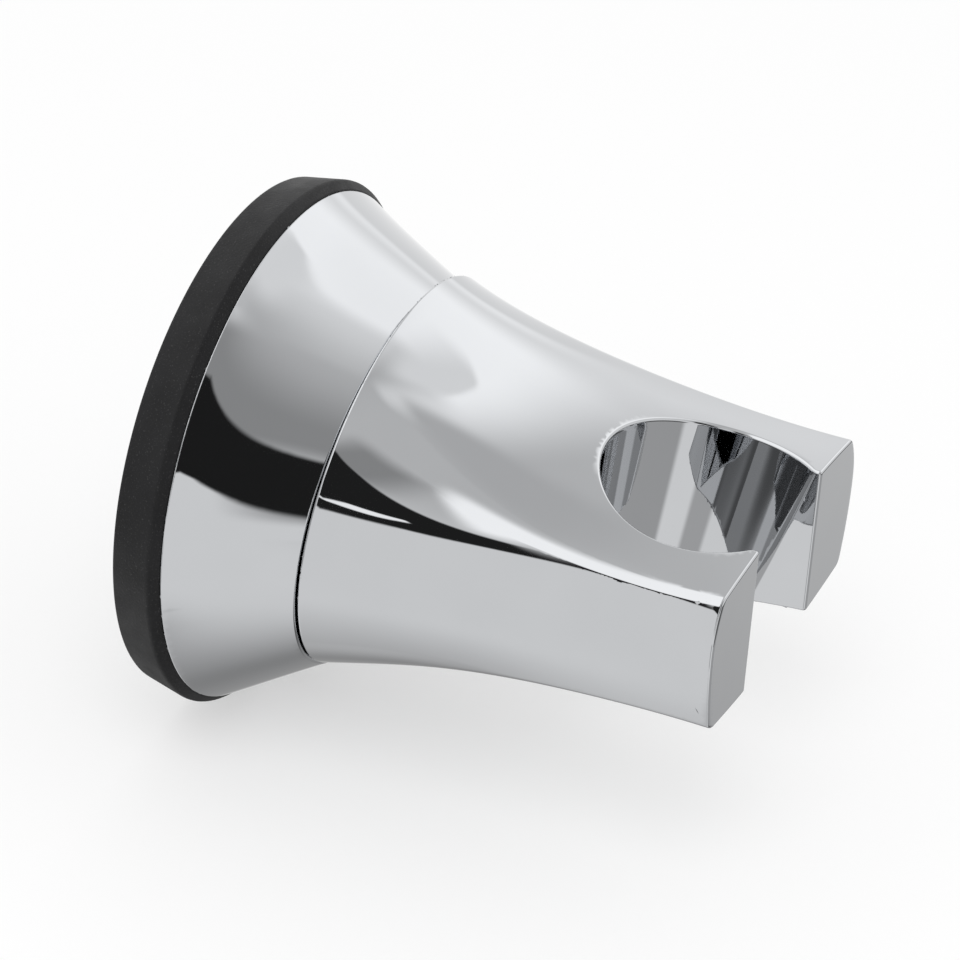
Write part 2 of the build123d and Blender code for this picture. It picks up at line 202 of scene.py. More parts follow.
print("panel group has", len(panel_group.nodes), "nodes")


# %% Soft panels of the studio
def heading(azimuth, elevation):
    """Direction at an azimuth, counted from the wall (+Y) towards the right (+X), and an elevation."""
    a, e = radians(azimuth), radians(elevation)
    return Vector((sin(a) * cos(e), cos(a) * cos(e), sin(e)))


studio_panels = (
    # name, azimuth, elevation, turn, half width, half height, softness, brightness
    ("ceiling", 98.9, 97.9, 3.8, 1.320, 1.754, 1.553, 0.741),
    ("floor_left", -41.4, -78.8, 17.6, 0.855, 0.049, 0.633, 0.408),
    ("floor_right", 160.2, -40.7, -15.2, 1.982, 0.886, 0.347, 0.164),
    ("front_low", -181.8, -43.2, 8.1, 0.688, 0.334, 0.038, 0.507),
    ("front_near", -102.2, -29.4, -1.8, 0.247, 0.177, 0.050, 0.558),
    ("low_right", 112.0, -33.4, 7.2, 0.319, 0.232, 0.240, 0.820),
    ("wall_right", 116.6, 45.1, -53.8, 1.061, 0.213, 0.240, 1.489),
    ("low_wall_right", 88.6, 13.7, 22.7, 0.447, 0.107, 0.292, 1.118),
    ("haze_top", -168.0, 64.9, 12.0, 0.501, 0.120, 0.250, 0.699),
    ("haze_cover", -138.0, 43.9, 38.0, 0.422, 0.150, 0.220, 0.394),
    ("haze_arm", -90.0, 38.0, 15.0, 0.131, 0.161, 0.160, 0.379),
    ("left_wall", -42.0, -13.7, -3.9, 0.334, 0.332, 0.139, 0.571),
    ("far_low", 75.6, -54.9, 3.8, 0.709, 0.312, 0.486, 0.340),
)
world = bpy.data.worlds.new("studio")
world.use_nodes = True
bpy.context.scene.world = world
studio_tree = world.node_tree
studio_tree.nodes.clear()
direction = add_node(studio_tree, "ShaderNodeTexCoord").outputs["Generated"]
backdrop = grey(1.0)
studio_colour = backdrop
for name, azimuth, elevation, turn, half_width, half_height, softness, level in studio_panels:
    towards = heading(azimuth, elevation)
    across = towards.cross(Vector((0, 0, 1))).normalized()
    across.rotate(Matrix.Rotation(radians(turn), 3, towards))
    mask = place_group(
        studio_tree, panel_group, name, Direction=direction, Towards=towards, Across=across,
        Up=across.cross(towards), Half_Width=half_width, Half_Height=half_height, Softness=softness)
    studio_colour = mix_colour(studio_tree, mask, studio_colour, grey(level))
print("studio has", len(studio_panels), "panels")

# %% [markdown]
# Polished metal also shows shapes with sharp outlines: the dark opening of the tent, the pale cards under it
# and the glint between them. A panel with four soft sides can't follow these, so they are cards with any
# number of corners. The edge between two corners is a plane through the piece, so one dot product tells on
# which side a direction lies, and the mask is the product over all edges. Every edge has its own softness.

# %% Card edge group of the studio
edge_group, given, result = shader_group(
    "card_edge", (("Direction", vector), ("Side", vector), ("Softness", number)), "Mask")
inwards = vector_node(edge_group, "DOT_PRODUCT", given["Direction"], given["Side"])
ramp = math_node(edge_group, "DIVIDE", inwards, given["Softness"])
mask = smooth_step(edge_group, math_node(edge_group, "ADD", ramp, 0.5, clamp=True))
edge_group.links.new(mask, result.inputs["Mask"])
print("edge group has", len(edge_group.nodes), "nodes")

# %% Cut cards of the studio
studio_cards = (
    # name, brightness, corners as azimuth, elevation and softness of the edge that follows
    ("belt", 0.660, ((74, 50, 0.12), (96, 60, 0.12), (112, 65, 0.12), (130, 69, 0.12), (170, 73, 0.15),
        (180, 82, 0.3), (90, 82, 0.3), (60, 70, 0.25))),
    ("grey_right", 1.100, ((110, 44, 0.03), (111, 50.5, 0.03), (116, 56, 0.03), (122.5, 61, 0.05),
        (128.5, 64.2, 0.1), (150, 68, 0.15), (172, 67, 0.2), (150, 56, 0.25), (125, 46, 0.25),
        (114, 40, 0.15))),
    ("white_back", 1.506, ((-75, 22, 0.05), (-76, 40, 0.06), (-76, 60, 0.15), (-60, 76, 0.2), (0, 82, 0.3),
        (62, 62, 0.25), (40, 20, 0.2), (-60, 20, 0.1))),
    ("opening_cover", 0.018, ((-156, 47, 0.018), (-138, 43.5, 0.018), (-130, 36, 0.018), (-112, 15, 0.03),
        (-112, -12, 0.1), (-134, 0, 0.1))),
    ("opening_arm", 0.020, ((-99, 35, 0.018), (-88, 31, 0.018), (-73.6, 19.3, 0.02), (-73.6, 8, 0.1),
        (-84, -12, 0.1), (-93, -4, 0.1))),
    ("card_cover", 1.009, ((-140, 9, 0.02), (-128, 8.3, 0.02), (-123, 6.2, 0.02), (-120, 2, 0.02),
        (-117, -6, 0.1), (-110, -50, 0.4), (-146, -50, 0.1))),
    ("card_arm", 0.986, ((-88, -4, 0.02), (-85.7, 1, 0.02), (-83.5, 6, 0.02), (-80, 11, 0.02),
        (-76, 13.6, 0.02), (-60, 15, 0.15), (-56, -50, 0.5), (-92, -48, 0.1))),
    ("glint", 1.400, ((-86.5, 8.5, 0.01), (-84.5, 13, 0.01), (-80, 16.8, 0.01), (-79.2, 15.4, 0.01),
        (-82, 12.5, 0.01), (-84.5, 8.5, 0.01))),
)
for name, level, corners in studio_cards:
    towards = [heading(azimuth, elevation) for azimuth, elevation, softness in corners]
    middle = sum(towards, Vector()) / len(towards)
    ahead = vector_node(studio_tree, "DOT_PRODUCT", direction, middle)
    mask = math_node(studio_tree, "GREATER_THAN", ahead, 0.0)
    for here, after, (azimuth, elevation, softness) in zip(towards, towards[1:] + towards[:1], corners):
        side = here.cross(after).normalized()
        if side.dot(middle) < 0:
            side.negate()
        edge = place_group(studio_tree, edge_group, name, Direction=direction, Side=side, Softness=softness)
        mask = math_node(studio_tree, "MULTIPLY", mask, edge)
    studio_colour = mix_colour(studio_tree, mask, studio_colour, grey(level))
print("studio has", len(studio_cards), "cards")

# %% [markdown]
# Only mirrors need panels and cards. The camera sees the backdrop bare, and matt surfaces get one plain
# light of nearly the same level. Cycles skips the side of a Mix Shader that isn't asked for, so the picture
# also takes a third of the time.

# %% Studio for mirrors and plain light for the rest
matt_light = grey(0.92)
rays, mirrored = mirror_rays(studio_tree)
plain_colour = mix_colour(studio_tree, rays["Is Camera Ray"], matt_light, backdrop)
mirrored_studio, plain_light = [
    add_node(studio_tree, "ShaderNodeBackground", {"Color": colour, "Strength": 1.0}).outputs[0]
    for colour in (studio_colour, plain_colour)]
studio_light = mix_shader(studio_tree, mirrored, plain_light, mirrored_studio)
add_node(studio_tree, "ShaderNodeOutputWorld", {"Surface": studio_light})
print("world has", len(studio_tree.nodes), "nodes")

# %% [markdown]
# The bracket is shown alone on a pale floor. The floor's colour and a little light of its own bring it close
# to white, and the rest of its light comes from the studio, so it keeps the soft shadow of the piece.
# Mirrors look through it to the studio's lower half, whose grey cards give chrome its darker flanks. One
# broad lamp from the upper left gives that shadow a side.

# %% Pale floor
floor_reach, floor_gap = 3.0, 0.0002
floor_dark, floor_light, floor_glow = grey(0.90), grey(0.94), 0.5
floor_mesh = bpy.data.meshes.new("pale_floor")
floor_edit = bmesh.new()
bmesh.ops.create_grid(floor_edit, x_segments=8, y_segments=8, size=floor_reach)
bmesh.ops.translate(floor_edit, verts=floor_edit.verts, vec=(0, 0, cad_box[0][2] - floor_gap))
floor_edit.to_mesh(floor_mesh)
floor_edit.free()
pale_floor = add_object("pale_floor", floor_mesh)
floor_paint = bpy.data.materials.new("floor_paint")
floor_paint.use_nodes = True
tree = floor_paint.node_tree
tree.nodes.clear()
rays, mirrored = mirror_rays(tree)
place = add_node(tree, "ShaderNodeTexCoord").outputs["Object"]
cloud = add_node(tree, "ShaderNodeTexNoise", {"Vector": place, "Scale": 3.0, "Detail": 3.0}).outputs["Fac"]
paint = mix_colour(tree, cloud, floor_dark, floor_light)
matt = add_node(tree, "ShaderNodeBsdfDiffuse", {"Color": paint}).outputs[0]
glow = add_node(tree, "ShaderNodeEmission", {"Color": grey(1.0), "Strength": 1.0}).outputs[0]
clear = add_node(tree, "ShaderNodeBsdfTransparent").outputs[0]
seen_floor = mix_shader(tree, rays["Is Camera Ray"], matt, mix_shader(tree, floor_glow, matt, glow))
add_node(tree, "ShaderNodeOutputMaterial", {"Surface": mix_shader(tree, mirrored, seen_floor, clear)})
floor_mesh.materials.append(floor_paint)
print("floor lies", round(-floor_mesh.vertices[0].co.z / millimetre, 1), "mm under the middle")

# %% Soft lamp
lamp_place, lamp_target = Vector((-0.45, -0.15, 0.75)), Vector((0, -0.03, 0))
lamp_data = bpy.data.lights.new("soft_lamp", "AREA")
lamp_data.shape = "DISK"
lamp_data.size = 0.5
lamp_data.energy = 2.0
soft_lamp = add_object("soft_lamp", lamp_data)
soft_lamp.location = lamp_place
soft_lamp.rotation_euler = (lamp_place - lamp_target).to_track_quat("Z", "Y").to_euler()
soft_lamp.visible_glossy = False
print("lamp is", round((lamp_place - lamp_target).length, 2), "m from the bracket")

# %% [markdown]
# Three small effects are shared by the finishes, so each is a node group with named inputs. A soft cloud
# makes gloss and colour drift a little over a surface. A grain gives moulded and cast skins their fine
# tooth. Lathe marks are fine rings round an axis, as a turned screw or washer has them. All three read the
# object's own coordinates, so they stay put when the arm turns.

# %% Soft cloud
soft_cloud, given, result = shader_group("soft_cloud", (
    ("Place", vector), ("Patches per Metre", number), ("Lowest", number), ("Highest", number)), "Value")
patches = {"Vector": given["Place"], "Scale": given["Patches per Metre"], "Detail": 3.0}
noise = add_node(soft_cloud, "ShaderNodeTexNoise", patches).outputs["Fac"]
noise_low, noise_high = 0.3, 0.7
spread = {0: noise, 1: noise_low, 2: noise_high, 3: given["Lowest"], 4: given["Highest"]}
soft_cloud.links.new(add_node(soft_cloud, "ShaderNodeMapRange", spread).outputs[0], result.inputs[0])
print(soft_cloud.name, "has", len(soft_cloud.nodes), "nodes")

# %% Fine grain
fine_grain, given, result = shader_group("fine_grain", (
    ("Place", vector), ("Grains per Metre", number), ("Roughness", number)), "Height")
grains = {"Vector": given["Place"], "Scale": given["Grains per Metre"]}
cells = add_node(fine_grain, "ShaderNodeTexVoronoi", grains, feature="SMOOTH_F1").outputs["Distance"]
wander = add_node(fine_grain, "ShaderNodeTexNoise", {
    **grains, "Detail": 4.0, "Roughness": given["Roughness"]}).outputs["Fac"]
height = math_node(fine_grain, "ADD", math_node(fine_grain, "MULTIPLY", cells, 0.5), wander)
fine_grain.links.new(height, result.inputs[0])
print(fine_grain.name, "has", len(fine_grain.nodes), "nodes")

# %% Lathe marks
lathe_marks, given, result = shader_group("lathe_marks", (
    ("Place", vector), ("Middle", vector), ("Axis", vector), ("Rings per Metre", number)), "Height")
from_middle = vector_node(lathe_marks, "SUBTRACT", given["Place"], given["Middle"])
along = vector_node(lathe_marks, "DOT_PRODUCT", from_middle, given["Axis"])
along_axis = add_node(lathe_marks, "ShaderNodeVectorMath", {0: given["Axis"], "Scale": along},
                      operation="SCALE").outputs["Vector"]
radius = vector_node(lathe_marks, "LENGTH", vector_node(lathe_marks, "SUBTRACT", from_middle, along_axis))
lathe_place = add_node(lathe_marks, "ShaderNodeCombineXYZ", {0: radius, 1: along}).outputs[0]
rings = add_node(lathe_marks, "ShaderNodeTexNoise", {
    "Vector": lathe_place, "Scale": given["Rings per Metre"], "Detail": 2.0}).outputs["Fac"]
lathe_marks.links.new(rings, result.inputs[0])
print(lathe_marks.name, "has", len(lathe_marks.nodes), "nodes")


# %% [markdown]
# A finish is a Principled shader whose plain numbers sit on its own sockets. Only what changes over the
# surface is linked: a colour that drifts between two close tones, a roughness that drifts between two
# values, and a bump. This helper makes such a finish, and each piece below gets its own numbers.

# %% Finish helper
def finish(name, dark, light, gloss, patches, metallic=0.0, **sockets):
    """Material whose colour drifts from dark to light and whose roughness drifts over gloss, a pair."""
    material = bpy.data.materials.new(name)
    material.use_nodes = True
    tree = material.node_tree
    shader = tree.nodes["Principled BSDF"]
    place = add_node(tree, "ShaderNodeTexCoord").outputs["Object"]
    tint = place_group(tree, soft_cloud, Place=place, Patches_per_Metre=patches, Lowest=0.0, Highest=1.0)
    feed(tree, shader.inputs["Base Color"], mix_colour(tree, tint, (*dark, 1), (*light, 1)))
    gloss_patches = patches * 1.7
    rough = place_group(tree, soft_cloud, Place=place, Patches_per_Metre=gloss_patches,
                        Lowest=gloss[0], Highest=gloss[1])
    feed(tree, shader.inputs["Roughness"], rough)
    shader.inputs["Metallic"].default_value = metallic
    for key, value in sockets.items():
        shader.inputs[key.replace("_", " ")].default_value = value
    print("finish", name, "has a roughness of", gloss[0], "to", gloss[1])
    return material, tree, shader, place


def grained(tree, place, grains, roughness):
    """Height of a fine grain at a place."""
    return place_group(tree, fine_grain, Place=place, Grains_per_Metre=grains, Roughness=roughness)


def relief(tree, shader, height, depth):
    """Bump of a given depth in metres on a finish."""
    bump = add_node(tree, "ShaderNodeBump", {"Height": height, "Distance": depth, "Strength": 1.0})
    feed(tree, shader.inputs["Normal"], bump.outputs["Normal"])


# %% [markdown]
# The chrome is a bright plating over a polished casting. Chromium sends back a bit more than half of the
# light, a little more of the blue, and its gloss hardly varies. Polishing leaves very low waves that make
# reflections swim. Inside, where no wheel reaches, the plating is thin and the casting's skin shows, so an
# attribute of the piece, called plated, tells the polished outside from the satin inside.

# %% Chrome plating
chrome, tree, shader, place = finish(
    "chrome_plate", (0.545, 0.555, 0.570), (0.560, 0.570, 0.585), (0.014, 0.026), 90.0, metallic=1.0)
plated = add_node(tree, "ShaderNodeAttribute", attribute_name="plated").outputs["Fac"]
satin = place_group(tree, soft_cloud, Place=place, Patches_per_Metre=400.0, Lowest=0.30, Highest=0.44)
polish = shader.inputs["Roughness"].links[0].from_socket
rough = add_node(tree, "ShaderNodeMix", {0: plated, 2: satin, 3: polish}, data_type="FLOAT").outputs[0]
feed(tree, shader.inputs["Roughness"], rough)
bright = shader.inputs["Base Color"].links[0].from_socket
dull = mix_colour(tree, satin, (0.34, 0.34, 0.35, 1), (0.42, 0.42, 0.43, 1))
feed(tree, shader.inputs["Base Color"], mix_colour(tree, plated, dull, bright))

# %% Waves and skin of the chrome
wave_share, chrome_depth = 0.02, 0.00004
waves = add_node(tree, "ShaderNodeTexNoise", {"Vector": place, "Scale": 150.0, "Detail": 1.0}).outputs["Fac"]
skin = grained(tree, place, 2500.0, 0.6)
wave_height = math_node(tree, "MULTIPLY", waves, wave_share)
skin_height = math_node(tree, "MULTIPLY", skin, math_node(tree, "SUBTRACT", 1.0, plated))
relief(tree, shader, math_node(tree, "ADD", wave_height, skin_height), chrome_depth)
print(chrome.name, "has", len(tree.nodes), "nodes")

# %% [markdown]
# The wall ring is soft black rubber, moulded in one piece. It is nearly matt, a little greyer where the
# mould was blasted, with a grain far finer than a millimetre and a few grey dust specks. The thin swivel
# seal is the same rubber with a smooth greased skin.

# %% Rubber finishes
ring_rubber, tree, shader, place = finish(
    "ring_rubber", (0.007, 0.007, 0.0075), (0.011, 0.011, 0.012), (0.46, 0.58), 160.0,
    Specular_IOR_Level=0.22)
relief(tree, shader, grained(tree, place, 3200.0, 0.65), 0.00003)
speck_colour, speck_strength = (0.08, 0.08, 0.08, 1), 0.35
specks = place_group(tree, soft_cloud, Place=place, Patches_per_Metre=5200.0, Lowest=-3.4, Highest=1.0)
speck_mask = math_node(tree, "MULTIPLY", specks, speck_strength, clamp=True)
rubber_tone = shader.inputs["Base Color"].links[0].from_socket
feed(tree, shader.inputs["Base Color"], mix_colour(tree, speck_mask, rubber_tone, speck_colour))
seal_rubber, tree, shader, place = finish(
    "seal_rubber", (0.012, 0.012, 0.013), (0.020, 0.020, 0.021), (0.22, 0.34), 240.0)
relief(tree, shader, grained(tree, place, 5000.0, 0.5), 0.00001)

# %% [markdown]
# The wall plate is grey nylon and the bush and friction ring are white acetal. Moulded plastic has a faint
# flow pattern and a spark-eroded grain, finer and glossier on the slippery white parts. A touch of
# subsurface light would hardly show in pieces this small, so the colour alone carries them.

# %% Moulded plastics
grey_moulding, tree, shader, place = finish(
    "grey_moulding", (0.19, 0.195, 0.20), (0.23, 0.235, 0.24), (0.38, 0.52), 120.0)
relief(tree, shader, grained(tree, place, 2600.0, 0.55), 0.000025)
white_moulding, tree, shader, place = finish(
    "white_moulding", (0.76, 0.755, 0.73), (0.82, 0.815, 0.79), (0.26, 0.38), 200.0)
relief(tree, shader, grained(tree, place, 4200.0, 0.5), 0.000012)

# %% [markdown]
# The bolt, springs, washer, pin and screws are stainless steel and the insert is brass. All were turned or
# stamped, so fine rings run round them, and their gloss drifts more than the plating's. Lathe marks need the
# axis they run round: the swivel's for most, and the vertical one for the locking screw. The swivel's axis
# leans by a few degrees and passes through the middle of the cover's front.

# %% Swivel's middle and direction, in millimetres
front_depth, front_rise, swivel_lean = 19.2, 0.5, radians(4.5)
swivel_centre = np.array((0.0, -front_depth, front_rise))
swivel_direction = np.array((0.0, -cos(swivel_lean), -sin(swivel_lean)))
print("swivel's direction:", swivel_direction.round(4))

# %% Turned metals
swivel = Vector(swivel_centre * millimetre), Vector(swivel_direction)
locking_screw = Vector((0, -0.009, 0)), Vector((0, 0, 1))
turned = {}
for name, dark, light, (middle, axis) in (
        ("turned_steel", (0.50, 0.49, 0.47), (0.58, 0.57, 0.55), swivel),
        ("screw_steel", (0.48, 0.47, 0.455), (0.56, 0.55, 0.53), locking_screw),
        ("turned_brass", (0.70, 0.52, 0.24), (0.78, 0.60, 0.30), swivel)):
    turned[name], tree, shader, place = finish(name, dark, light, (0.22, 0.36), 300.0, metallic=1.0)
    marks = place_group(tree, lathe_marks, Place=place, Middle=middle, Axis=axis, Rings_per_Metre=5200.0)
    relief(tree, shader, marks, 0.00002)

# %% [markdown]
# Every node of the frame gets the finish of what it is made of. The three outer nodes are replaced by
# smoother pieces further down, and get theirs all the same, so that none is left without.

# %% Finish of every node
node_finish = {
    "wall_ring": ring_rubber, "swivel_seal": seal_rubber, "wall_plate": grey_moulding,
    "pivot_bush": white_moulding, "friction_ring": white_moulding, "arm_insert": turned["turned_brass"],
    "cover_grub_screw": turned["screw_steel"], "grub_screw_nut": turned["screw_steel"],
    "pivot_bolt": turned["turned_steel"], "disc_springs": turned["turned_steel"],
    "bolt_washer": turned["turned_steel"], "stop_pin": turned["turned_steel"],
    "base_cover": chrome, "holder_arm": chrome,
}
for node, material in node_finish.items():
    for material_slot in nodes[node].material_slots:
        material_slot.material = material
print(len(node_finish), "nodes of", len(nodes), "have their finish")

# %% [markdown]
# The wall ring is a turned shape, one outline carried round an axis, so Geometry Nodes make it. The outline
# is a closed curve of seven corners, and each corner's radius attribute says how much it is rounded. The
# tree rounds the corners, lays a grid of steps along and around, reads the outline at each step and turns it
# about the axis. The moulded lip inside the ring centres the cover.

# %% Lathe tree
lathe = bpy.data.node_groups.new("lathe", "GeometryNodeTree")
for name, kind, value in (("Outline", "NodeSocketGeometry", None), ("Steps Around", "NodeSocketInt", 288),
                          ("Steps Along", "NodeSocketInt", 150), ("Finish", "NodeSocketMaterial", None)):
    socket = lathe.interface.new_socket(name, in_out="INPUT", socket_type=kind)
    if value is not None:
        socket.default_value = value
lathe.interface.new_socket("Geometry", in_out="OUTPUT", socket_type="NodeSocketGeometry")
given = add_node(lathe, "NodeGroupInput").outputs
corner_radius = add_node(lathe, "GeometryNodeInputRadius").outputs[0]
corner_steps = 8
outline = add_node(lathe, "GeometryNodeFilletCurve", {
    "Curve": given["Outline"], "Radius": corner_radius, "Count": corner_steps, "Limit Radius": True},
    mode="POLY").outputs["Curve"]
columns = math_node(lathe, "ADD", given["Steps Around"], 1)
rows = math_node(lathe, "ADD", given["Steps Along"], 1)
grid = add_node(lathe, "GeometryNodeMeshGrid", {"Vertices X": columns, "Vertices Y": rows}).outputs["Mesh"]
position = add_node(lathe, "GeometryNodeInputPosition").outputs[0]
grid_place = add_node(lathe, "ShaderNodeSeparateXYZ", {0: position}).outputs
share_along = math_node(lathe, "ADD", grid_place["Y"], 0.5, clamp=True)
angle = math_node(lathe, "MULTIPLY", math_node(lathe, "ADD", grid_place["X"], 0.5), 2 * pi)
outline_point = add_node(lathe, "GeometryNodeSampleCurve", {"Curves": outline, "Factor": share_along},
                         mode="FACTOR", use_all_curves=True).outputs["Position"]
turned_point = add_node(lathe, "ShaderNodeVectorRotate", {
    "Vector": outline_point, "Axis": Vector((0, 1, 0)), "Angle": angle},
    rotation_type="AXIS_ANGLE").outputs[0]
skin = add_node(lathe, "GeometryNodeSetPosition", {"Geometry": grid, "Position": turned_point}).outputs[0]
closed = add_node(lathe, "GeometryNodeMergeByDistance", {"Geometry": skin, "Distance": 1e-6}).outputs[0]
real = add_node(lathe, "GeometryNodeRealizeInstances", {"Geometry": closed}).outputs[0]
dressed = add_node(lathe, "GeometryNodeSetMaterial", {"Geometry": real, "Material": given["Finish"]})
add_node(lathe, "NodeGroupOutput", {"Geometry": dressed.outputs[0]})
print("lathe has", len(lathe.nodes), "nodes")


# %% Turned piece
def turn_piece(name, corners, material):
    """Piece turned about the wall's axis from corners: radius, depth and rounding in millimetres."""
    curve = bpy.data.curves.new(name + "_outline", "CURVE")
    curve.dimensions = "3D"
    spline = curve.splines.new("POLY")
    spline.points.add(len(corners) - 1)
    for point, (radius, depth, rounding) in zip(spline.points, corners):
        point.co = (radius * millimetre, -depth * millimetre, 0, 1)
        point.radius = rounding * millimetre
    spline.use_cyclic_u = True
    holder = add_object(name + "_outline", curve)
    modifier = holder.modifiers.new("lathe", "NODES")
    modifier.node_group = lathe
    inputs = [item for item in lathe.interface.items_tree if item.in_out == "INPUT"]
    identifiers = {item.name: item.identifier for item in inputs}
    modifier[identifiers["Finish"]] = material
    mesh = bpy.data.meshes.new_from_object(holder.evaluated_get(bpy.context.evaluated_depsgraph_get()))
    bpy.data.objects.remove(holder)
    mesh_edit = bmesh.new()
    mesh_edit.from_mesh(mesh)
    bmesh.ops.recalc_face_normals(mesh_edit, faces=mesh_edit.faces)
    mesh_edit.to_mesh(mesh)
    mesh_edit.free()
    mesh.shade_smooth()
    mesh.name = name
    print(name, len(mesh.polygons), "faces")
    return add_object(name, mesh)


# %% Wall ring
ring_depth, rim_radius = 5.95, 30.05
rubber_ring = turn_piece("rubber_ring", (
    (25.5, 0.0, 0.2), (30.0, 0.0, 0.3), (31.0, 4.9, 0.5), (rim_radius, ring_depth, 0.12),
    (26.3, ring_depth, 0.2), (25.8, 7.05, 0.15), (25.5, 7.05, 0.1)), ring_rubber)
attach(rubber_ring, "base")
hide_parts("wall_ring")


# %% [markdown]
# A mirror shows every facet. Both shapes follow a rule, though, that tells how deep any point lies under the
# outside. So the outside is trued up: a copy of the node is cut finer, every outside point is pushed to
# where the rule says zero, and its normal is taken from the rule too. Where two surfaces meet, the rule
# blends them over a small radius, which gives the rounded edge.

# %% Curves and blended edges
def bend(share, values):
    """Value at a share of a quadratic curve through three named values."""
    start, middle, end = values
    return (1 - share) ** 2 * start + 2 * share * (1 - share) * middle + share**2 * end


def bend_slope(share, values):
    """Slope of the same curve."""
    start, middle, end = values
    return 2 * ((1 - share) * (middle - start) + share * (end - middle))


def rounded(depths, radius):
    """Depth under several surfaces at once, with an edge of the given radius where they meet."""
    nearest = np.min(depths, axis=0)
    missing = np.sqrt(sum(np.maximum(radius - depth, 0) ** 2 for depth in depths))
    return np.where(nearest < radius, radius - missing, nearest)


# %% [markdown]
# The cover is round at every depth, from the wide rim on the ring to the narrow front where the arm begins.
# Its radius and its depth each follow a quadratic curve of a share, which is 0 at the rim and 1 at the
# front. The front leans with the swivel, so the slices lean more and more on the way, and the share of a
# point is found in a few rounds.

# %% Rule of the cover
cover_radii, cover_depths = (rim_radius, 27.3, 22.9), (ring_depth, 10.5, front_depth)
front_edge, rim_edge = 0.18, 0.2
search_rounds = 8


def cover_depth(points):
    """Depth of points under the cover's outside, in millimetres; it is zero on the surface."""
    x, y, z = points.T
    share = np.full(len(points), 0.5)
    start, middle, end = cover_depths
    steep = start - 2 * middle + end
    slope = 2 * (middle - start)
    for _ in range(search_rounds):
        lean = swivel_lean * share**2
        target = -y - (z - front_rise * share) * np.tan(lean)
        share = (-slope + np.sqrt(np.maximum(slope**2 + 4 * steep * (target - start), 1))) / (2 * steep)
        share = np.clip(share, -0.2, 1.2)
    lean = swivel_lean * share**2
    around = np.hypot(x, (z - front_rise * share) / np.cos(lean))
    flare = bend_slope(share, cover_radii) / bend_slope(share, cover_depths)
    skin = (bend(share, cover_radii) - around) / np.hypot(1, flare)
    front = (swivel_centre - points) @ swivel_direction
    return rounded((rounded((skin, front), front_edge), -y - ring_depth), rim_edge)


half_way = np.array(((bend(0.5, cover_radii), -bend(0.5, cover_depths), 0.0),))
print("half way along, the cover's skin is off its curve by", cover_depth(half_way).round(3)[0], "mm")

# %% [markdown]
# The arm's outline is a box with bowed sides and rounded corners. Its half width, top and bottom follow
# quadratic curves of the share along the arm. At the neck the corners are so round that the outline is a
# circle, and towards the end they sharpen into the ridge along each side. The socket is a cone that leans
# against the arm, and the hose slot is a gap between two planes.

# %% Sizes of the arm, in millimetres
swivel_gap, neck_radius, neck_rise, end_depth = 0.35, 23.3, 1.3, 67.2
neck_depth = front_depth - front_rise * tan(swivel_lean) + swivel_gap / cos(swivel_lean)
arm_width = (neck_radius, 20.9, 20.15)
arm_top = (neck_rise + neck_radius, 11.2, 12.2)
arm_bottom = (neck_rise - neck_radius, -10.9, -7.0)
belt_rise = 1.9
neck_corner, end_corner, corner_pace = 0.9 * neck_radius, 1.4, 3.54
arm_crown, arm_keel, arm_bow = (0.27, 0.272, 0.16), (0.27, 0.55, 0.095), (0.27, 0.045, 0.07)
socket_depth, mouth_radius, socket_taper, socket_lean = 57.5, 12.2, radians(5.6), radians(9.0)
slot_half_width, beside_slot = 8.75, 9.0
arm_edge, neck_edge = 0.4, 0.3
print("arm reaches from", round(neck_depth, 2), "to", end_depth, "mm in front of the wall")


# %% Rule of the arm
def arm_skin(points):
    """Depth of points under the arm's bowed and rounded outline, before the socket and the slot."""
    x, y, z = points.T
    share = np.full(len(points), 0.5)
    for _ in range(search_rounds):
        lean = swivel_lean * np.clip(1 - share, 0, 1.2) ** 4
        share = (-y - z * np.tan(lean) - neck_depth) / (end_depth - neck_depth)
    lean = swivel_lean * np.clip(1 - share, 0, 1.2) ** 4
    wide, top, bottom = (bend(share, values) for values in (arm_width, arm_top, arm_bottom))
    belt = (top + bottom) / 2 + belt_rise * share
    height = z / np.cos(lean) - belt
    tall = np.where(height > 0, top - belt, belt - bottom)
    across, height, upper = np.abs(x), np.abs(height), height > 0
    corner = end_corner + (neck_corner - end_corner) * np.clip(1 - share, 0, 1.2) ** corner_pace
    crown = np.where(upper, bend(share, arm_crown), bend(share, arm_keel)) * (tall - corner)
    bow = bend(share, arm_bow) * (wide - corner)
    corner_x, corner_y = wide - corner - bow, tall - corner - crown
    top_angle, side_angle = 2 * np.arctan(crown / corner_x), 2 * np.arctan(bow / corner_y)
    top_radius, side_radius = corner_x / np.sin(top_angle), corner_y / np.sin(side_angle)
    angle = np.arctan2(height - corner_y, across - corner_x)
    above = corner + top_radius - np.hypot(across, height - tall + corner + top_radius)
    beside = corner + side_radius - np.hypot(across - wide + corner + side_radius, height)
    between = corner - np.hypot(across - corner_x, height - corner_y)
    return np.where(angle > pi / 2 - top_angle, above, np.where(angle < side_angle, beside, between))


def arm_depth(points):
    """Depth of points under the arm's outside, in millimetres; it is zero on the surface."""
    x, y, z = points.T
    from_mouth = points - np.array((0.0, -socket_depth, arm_top[2]))
    along = from_mouth @ np.array((0.0, -sin(socket_lean), cos(socket_lean)))
    from_axis = np.sqrt(np.maximum((from_mouth**2).sum(1) - along**2, 0))
    cone = (from_axis - mouth_radius - along * tan(socket_taper)) * cos(socket_taper)
    slot = np.where(y < -socket_depth, np.abs(x) - slot_half_width, beside_slot)
    rear = (points - swivel_centre) @ swivel_direction - swivel_gap
    sides = rounded((arm_skin(points), cone, slot, y + end_depth), arm_edge)
    return rounded((sides, rear), neck_edge)


half_way = np.array(((0.0, -(neck_depth + end_depth) / 2, bend(0.5, arm_top)),))
print("half way along, the arm's top is off its curve by", arm_depth(half_way).round(3)[0], "mm")


